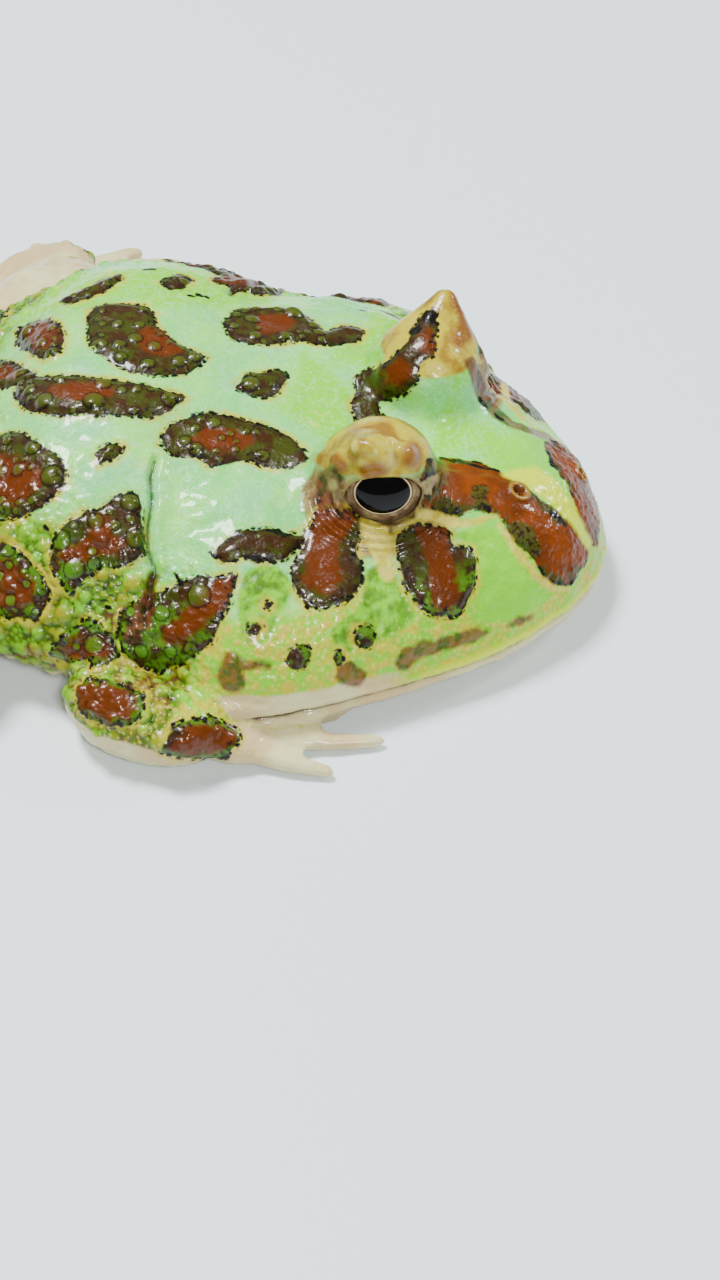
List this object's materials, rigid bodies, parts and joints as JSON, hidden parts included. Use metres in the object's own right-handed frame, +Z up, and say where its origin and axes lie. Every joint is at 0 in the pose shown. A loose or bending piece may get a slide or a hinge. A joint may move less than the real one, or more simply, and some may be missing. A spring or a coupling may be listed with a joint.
{
  "type": "argentine horned frog",
  "caption": "Wide, low horned frog resting on its belly, with broad mouth, pointed upper eyelids, bulging eyes and short limbs folded at its sides.",
  "frame": {"origin": "middle of the bounding box in plan, on the floor that the belly rests on", "axes": "+Z up, the head faces -Y, the frog's left side is towards +X"},
  "size_m": [0.1072, 0.09, 0.0263],
  "materials": {
    "back_skin": "moist mint and lime green skin with dark olive and rust-brown blotches",
    "pale_skin": "moist cream-white skin of the lower jaw and digits",
    "lid_skin": "moist orange-brown and cream skin of the horned eyelids",
    "eye": "wet dark eye with a thin pale ring round the pupil"
  },
  "bodies": {
    "root": {"torso": "back_skin", "head": "back_skin", "lower_jaw": "pale_skin", "eyelid_left": "lid_skin", "eyelid_right": "lid_skin", "eye_left": "eye", "eye_right": "eye", "forearm_left": "back_skin", "forearm_right": "back_skin", "hand_left": "back_skin", "hand_right": "back_skin", "finger_1_left": "pale_skin", "finger_2_left": "pale_skin", "finger_3_left": "pale_skin", "finger_4_left": "pale_skin", "finger_1_right": "pale_skin", "finger_2_right": "pale_skin", "finger_3_right": "pale_skin", "finger_4_right": "pale_skin", "thigh_left": "back_skin", "thigh_right": "back_skin", "shank_left": "back_skin", "shank_right": "back_skin", "foot_left": "back_skin", "foot_right": "back_skin", "toe_1_left": "pale_skin", "toe_2_left": "pale_skin", "toe_3_left": "pale_skin", "toe_4_left": "pale_skin", "toe_5_left": "pale_skin", "toe_1_right": "pale_skin", "toe_2_right": "pale_skin", "toe_3_right": "pale_skin", "toe_4_right": "pale_skin", "toe_5_right": "pale_skin"}
  },
  "joints": []
}
